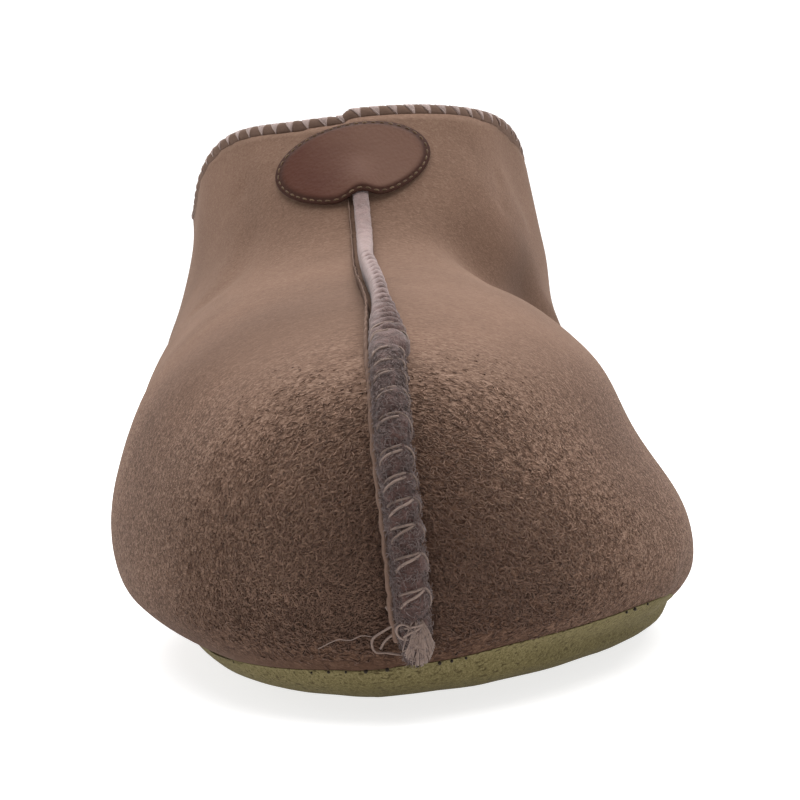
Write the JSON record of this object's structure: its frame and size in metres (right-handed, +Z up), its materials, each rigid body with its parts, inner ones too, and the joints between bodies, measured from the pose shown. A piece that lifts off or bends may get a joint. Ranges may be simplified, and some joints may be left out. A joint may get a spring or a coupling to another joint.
{
  "type": "slipper boot",
  "caption": "Ankle-high sheepskin slipper boot for the right foot, with a raised front seam, an oval leather badge and a soft suede sole.",
  "frame": {"origin": "on the floor, under the middle of the boot's box", "axes": "+Z up, toe towards -Y, inner side of the right foot towards +X"},
  "size_m": [0.1132, 0.2686, 0.1118],
  "materials": {
    "suede_upper": "taupe suede with a short curly nap",
    "suede_sole": "olive suede with dark flecks",
    "wool_lining": "pale curly wool",
    "seam_wool": "felted mauve wool with pale thread",
    "badge_leather": "smooth brown leather with a dark edge",
    "collar_wool": "pale wool under overlock thread"
  },
  "bodies": {
    "root": {"upper": "suede_upper", "outsole": "suede_sole", "insole": "wool_lining", "front_seam": "seam_wool", "badge": "badge_leather", "collar_edge": "collar_wool"}
  },
  "joints": []
}
